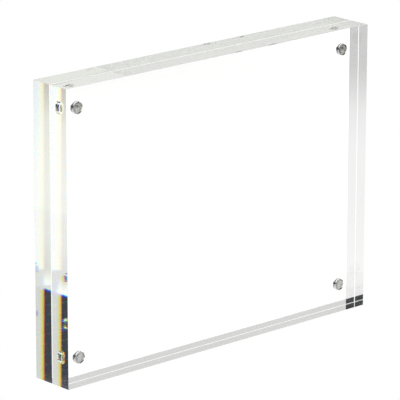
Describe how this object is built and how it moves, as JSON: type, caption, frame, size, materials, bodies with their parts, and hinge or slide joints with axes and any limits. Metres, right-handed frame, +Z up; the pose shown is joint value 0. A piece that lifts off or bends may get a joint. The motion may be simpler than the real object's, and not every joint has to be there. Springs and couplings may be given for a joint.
{
  "type": "block frame",
  "caption": "Free-standing clear block frame: thick polished slabs face to face, held by small disc magnets near the corners, that hold a print between them.",
  "frame": {"origin": "middle of the base, on the surface that the frame stands on, midway between the slabs", "axes": "+X across the width, -Y towards the front, +Z up"},
  "size_m": [0.2032, 0.0248, 0.1524],
  "materials": {
    "acrylic": "clear cast acrylic, flame-polished edges",
    "nickel_plate": "bright nickel plate",
    "clear_glue": "cured clear glue"
  },
  "bodies": {
    "rear": {"rear_block": "acrylic", "rear_magnet_top_left": "nickel_plate", "rear_magnet_top_right": "nickel_plate", "rear_magnet_bottom_left": "nickel_plate", "rear_magnet_bottom_right": "nickel_plate", "rear_glue_top_left": "clear_glue", "rear_glue_top_right": "clear_glue", "rear_glue_bottom_left": "clear_glue", "rear_glue_bottom_right": "clear_glue"},
    "front": {"front_block": "acrylic", "front_magnet_top_left": "nickel_plate", "front_magnet_top_right": "nickel_plate", "front_magnet_bottom_left": "nickel_plate", "front_magnet_bottom_right": "nickel_plate", "front_glue_top_left": "clear_glue", "front_glue_top_right": "clear_glue", "front_glue_bottom_left": "clear_glue", "front_glue_bottom_right": "clear_glue"}
  },
  "joints": [
    {"name": "front_pull_off", "type": "slide", "parent": "rear", "child": "front", "axis": [0, -1, 0], "range_m": [0, 0.1]}
  ]
}
